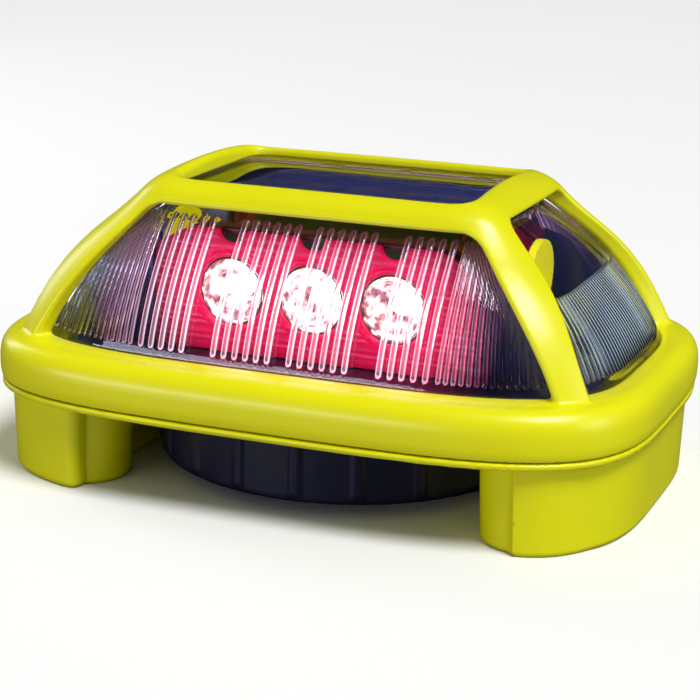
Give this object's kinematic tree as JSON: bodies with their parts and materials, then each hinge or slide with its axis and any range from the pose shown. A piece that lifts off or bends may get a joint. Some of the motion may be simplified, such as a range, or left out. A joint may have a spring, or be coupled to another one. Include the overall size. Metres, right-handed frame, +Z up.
{
  "type": "barricade warning light",
  "caption": "Low solar warning light for a road barricade: yellow guard cage and legs round a ribbed clear lens, red reflector with lamps behind it, screwed battery cap below.",
  "frame": {"origin": "centre of the plan at the height of the four leg feet", "axes": "+X along the long side, to the right seen from the front lamps; +Y towards the back lamps; +Z up through the solar panel"},
  "size_m": [0.16, 0.1126, 0.0728],
  "materials": {
    "yellow_guard_plastic": "glossy moulded",
    "clear_lens": "clear moulded polycarbonate",
    "black_plastic": "satin moulded",
    "black_rubber": "matt",
    "red_reflector": "glossy moulded",
    "solar_cell": "dark cells under clear resin",
    "circuit_board": "solder mask",
    "led_package": "moulded",
    "steel": "zinc plated",
    "nickel": "nickel plated",
    "cell_sleeve": "printed sleeve without marks",
    "wire_sleeve": "insulated wire"
  },
  "bodies": {
    "root": {"base_tray": "yellow_guard_plastic", "battery_cell_1": "cell_sleeve", "battery_cell_2": "cell_sleeve", "battery_cell_3": "cell_sleeve", "battery_holder": "black_plastic", "battery_lead": "wire_sleeve", "button_bezel": "black_plastic", "case_screw_1": "steel", "case_screw_2": "steel", "case_screw_3": "steel", "case_screw_4": "steel", "chassis_plate": "black_plastic", "contact_plate_negative": "nickel", "contact_plate_positive": "nickel", "contact_spring_1": "nickel", "contact_spring_2": "nickel", "contact_spring_3": "nickel", "control_board": "circuit_board", "end_bracket_left": "yellow_guard_plastic", "end_bracket_right": "yellow_guard_plastic", "guard_cage": "yellow_guard_plastic", "led_back_1": "led_package", "led_back_2": "led_package", "led_back_3": "led_package", "led_board_back": "circuit_board", "led_board_front": "circuit_board", "led_front_1": "led_package", "led_front_2": "led_package", "led_front_3": "led_package", "led_optic_back_1": "clear_lens", "led_optic_back_2": "clear_lens", "led_optic_back_3": "clear_lens", "led_optic_front_1": "clear_lens", "led_optic_front_2": "clear_lens", "led_optic_front_3": "clear_lens", "lens": "clear_lens", "lens_gasket": "black_rubber", "reflector_housing_back": "red_reflector", "reflector_housing_front": "red_reflector", "solar_lead": "wire_sleeve", "solar_panel": "solar_cell", "switch_body": "black_plastic"},
    "cap_travel": {"cap_seal_ring": "black_rubber"},
    "cap": {"battery_cap": "black_plastic"},
    "button": {"power_button": "black_rubber"}
  },
  "joints": [
    {"name": "cap_lift", "type": "slide", "parent": "root", "child": "cap_travel", "axis": [0, 0, -1], "range_m": [0, 0.0113]},
    {"name": "cap_turn", "type": "hinge", "parent": "cap_travel", "child": "cap", "pos_m": [0, 0, 0.0034], "axis": [0, 0, -1], "range_deg": [0, 900]},
    {"name": "button_press", "type": "slide", "parent": "root", "child": "button", "axis": [0, 0, 1], "range_m": [0, 0.0015], "stiffness_N_per_m": 400}
  ],
  "couplings": [
    {"joint": "cap_lift", "follows": "cap_turn", "m_per_rad": 0.0007162}
  ]
}
